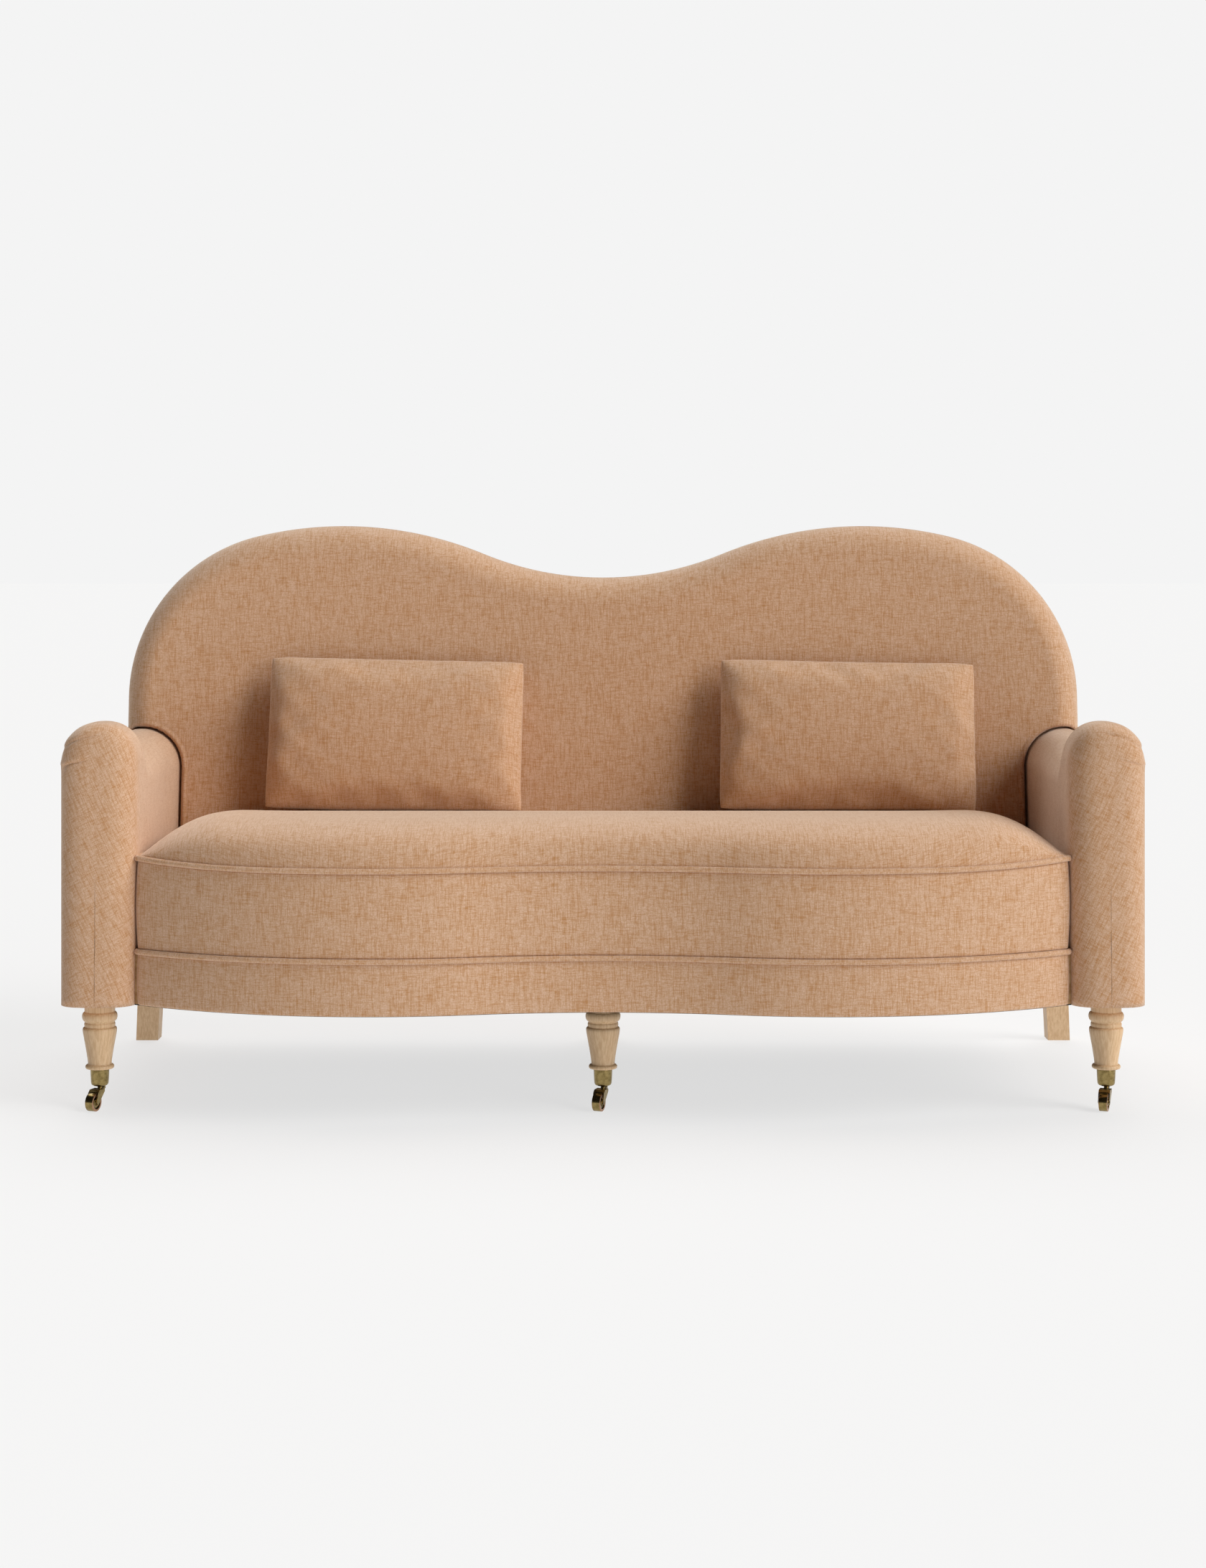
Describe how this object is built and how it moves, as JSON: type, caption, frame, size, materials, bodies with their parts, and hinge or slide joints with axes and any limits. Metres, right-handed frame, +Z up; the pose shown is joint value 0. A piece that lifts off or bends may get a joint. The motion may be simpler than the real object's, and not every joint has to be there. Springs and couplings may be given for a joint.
{
  "type": "sofa",
  "caption": "Camel-back sofa with a tight serpentine seat, round-nosed arms, turned front legs on brass casters and loose lumbar pillows.",
  "frame": {"origin": "centre of the footprint's bounding box, on the floor", "axes": "+X along the sofa to the viewer's right, +Y to the back, +Z up"},
  "size_m": [1.9, 0.9399, 1.041],
  "materials": {
    "upholstery_fabric": "matte",
    "pillow_fabric": "matte",
    "upholstery_foam": "matte",
    "pillow_filling": "matte",
    "lining_cloth": "matte",
    "jute_webbing": "matte",
    "pale_turned_wood": "satin",
    "frame_hardwood": "matte",
    "antique_brass": "polished"
  },
  "bodies": {
    "root": {"apron_band": "upholstery_fabric", "arm_cover_left": "upholstery_fabric", "arm_cover_right": "upholstery_fabric", "arm_pad_left": "upholstery_foam", "arm_pad_right": "upholstery_foam", "arm_rail_left": "frame_hardwood", "arm_rail_right": "frame_hardwood", "arm_stump_left": "frame_hardwood", "arm_stump_right": "frame_hardwood", "back_centre_post": "frame_hardwood", "back_cover": "upholstery_fabric", "back_foam": "upholstery_foam", "back_mid_rail": "frame_hardwood", "back_post_left": "frame_hardwood", "back_post_right": "frame_hardwood", "back_rail": "frame_hardwood", "back_top_rail": "frame_hardwood", "back_webbing": "jute_webbing", "boxing_band": "upholstery_fabric", "caster_cups": "antique_brass", "centre_rail": "frame_hardwood", "corner_blocks": "frame_hardwood", "deck_cloth": "lining_cloth", "dust_cover": "lining_cloth", "front_legs": "pale_turned_wood", "front_rail": "frame_hardwood", "outside_back_panel": "upholstery_fabric", "rear_leg_centre": "pale_turned_wood", "rear_leg_left": "pale_turned_wood", "rear_leg_right": "pale_turned_wood", "seat_cover": "upholstery_fabric", "seat_foam": "upholstery_foam", "seat_webbing_across": "jute_webbing", "seat_webbing_front_to_back": "jute_webbing", "seat_welt_lower": "upholstery_fabric", "seat_welt_upper": "upholstery_fabric", "side_rail_left": "frame_hardwood", "side_rail_right": "frame_hardwood"},
    "caster_swivel_left": {"caster_horn_left": "antique_brass", "caster_axle_left": "antique_brass"},
    "caster_roller_left": {"caster_wheel_left": "antique_brass"},
    "caster_swivel_centre": {"caster_horn_centre": "antique_brass", "caster_axle_centre": "antique_brass"},
    "caster_roller_centre": {"caster_wheel_centre": "antique_brass"},
    "caster_swivel_right": {"caster_horn_right": "antique_brass", "caster_axle_right": "antique_brass"},
    "caster_roller_right": {"caster_wheel_right": "antique_brass"},
    "pillow_left": {"pillow_cover_left": "pillow_fabric", "pillow_filling_left": "pillow_filling"},
    "pillow_right": {"pillow_cover_right": "pillow_fabric", "pillow_filling_right": "pillow_filling"}
  },
  "joints": [
    {"name": "caster_swivel_left", "type": "hinge", "parent": "root", "child": "caster_swivel_left", "pos_m": [-0.886, -0.297, 0.041], "axis": [0, 0, 1], "continuous": true},
    {"name": "caster_roll_left", "type": "hinge", "parent": "caster_swivel_left", "child": "caster_roller_left", "pos_m": [-0.89352, -0.31767, 0.016], "axis": [0.9397, -0.342, 0], "continuous": true},
    {"name": "caster_swivel_centre", "type": "hinge", "parent": "root", "child": "caster_swivel_centre", "pos_m": [0, -0.297, 0.041], "axis": [0, 0, 1], "continuous": true},
    {"name": "caster_roll_centre", "type": "hinge", "parent": "caster_swivel_centre", "child": "caster_roller_centre", "pos_m": [-0.00752, -0.31767, 0.016], "axis": [0.9397, -0.342, 0], "continuous": true},
    {"name": "caster_swivel_right", "type": "hinge", "parent": "root", "child": "caster_swivel_right", "pos_m": [0.886, -0.297, 0.041], "axis": [0, 0, 1], "continuous": true},
    {"name": "caster_roll_right", "type": "hinge", "parent": "caster_swivel_right", "child": "caster_roller_right", "pos_m": [0.87848, -0.31767, 0.016], "axis": [0.9397, -0.342, 0], "continuous": true},
    {"name": "pillow_lift_left", "type": "slide", "parent": "root", "child": "pillow_left", "axis": [0, 0, 1], "range_m": [0, 0.58]},
    {"name": "pillow_lift_right", "type": "slide", "parent": "root", "child": "pillow_right", "axis": [0, 0, 1], "range_m": [0, 0.58]}
  ]
}
